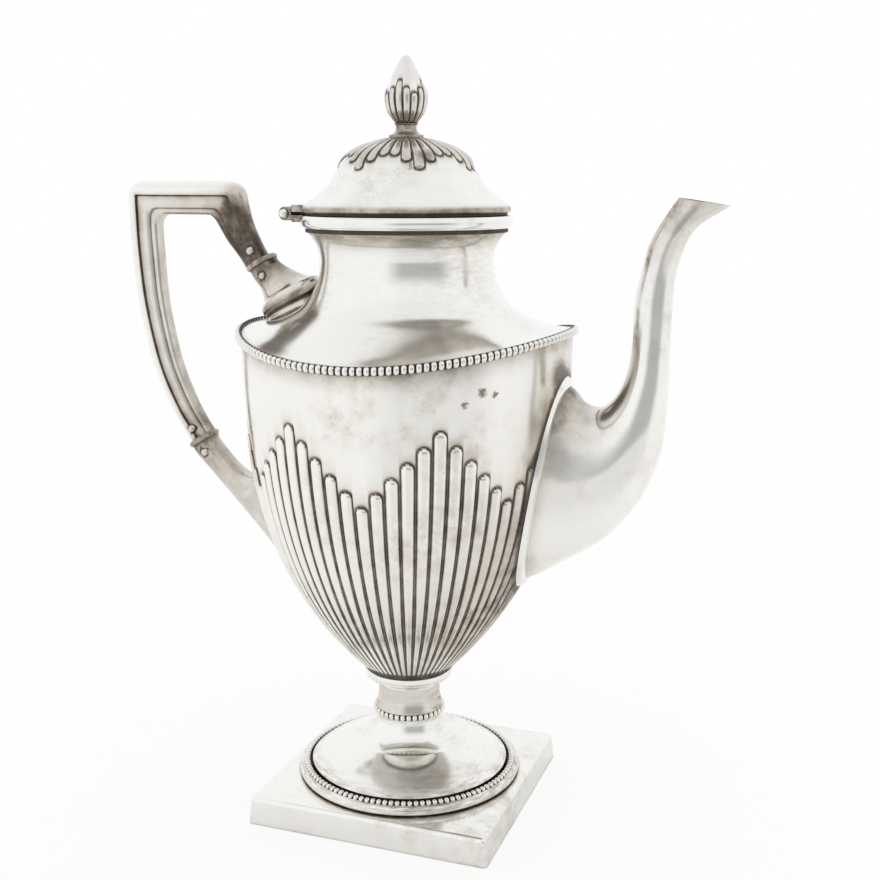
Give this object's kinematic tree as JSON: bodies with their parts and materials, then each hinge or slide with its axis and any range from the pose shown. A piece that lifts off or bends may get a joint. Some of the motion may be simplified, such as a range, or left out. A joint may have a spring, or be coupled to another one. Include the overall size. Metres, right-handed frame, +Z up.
{
  "type": "silver coffee pot",
  "caption": "Urn-shaped silver coffee pot on a square plinth, with lobed body, beaded edges, hinged domed lid with bud finial, swan-neck spout and angular insulated handle.",
  "frame": {"origin": "middle of the square plinth on the plane it stands on", "axes": "+Z up along the pot's axis, +X towards the spout, -X towards the handle and lid hinge"},
  "size_m": [0.2254, 0.1228, 0.2736],
  "materials": {
    "silver": "polished, tarnished",
    "handle_silver": "dull, tarnished",
    "insulator": "bone-like, satin"
  },
  "bodies": {
    "pot": {"square_plinth": "silver", "foot_moulding": "silver", "foot_bead_ring": "silver", "foot_dome": "silver", "stem_bead_ring": "silver", "stem": "silver", "body_collar": "silver", "urn_body": "silver", "shoulder_bead_ring": "silver", "shoulder": "silver", "neck": "silver", "neck_band": "silver", "mouth_rim": "silver", "hinge_pot_leaf": "silver", "hinge_pin": "silver", "spout": "silver", "spout_border": "silver", "upper_socket": "handle_silver", "lower_socket": "handle_silver", "upper_insulator": "insulator", "lower_insulator": "insulator", "handle_grip": "handle_silver", "upper_grip_rivet": "silver", "upper_socket_rivet": "silver", "lower_grip_rivet": "silver", "lower_socket_rivet": "silver"},
    "lid": {"lid_dome": "silver", "lid_bezel": "silver", "finial_base": "silver", "finial_bud": "silver", "finial_stud": "silver", "finial_nut": "silver", "hinge_lid_leaf": "silver"}
  },
  "joints": [
    {"name": "lid_hinge", "type": "hinge", "parent": "pot", "child": "lid", "pos_m": [-0.0424, 0, 0.2197], "axis": [0, -1, 0], "range_deg": [0, 105]}
  ]
}
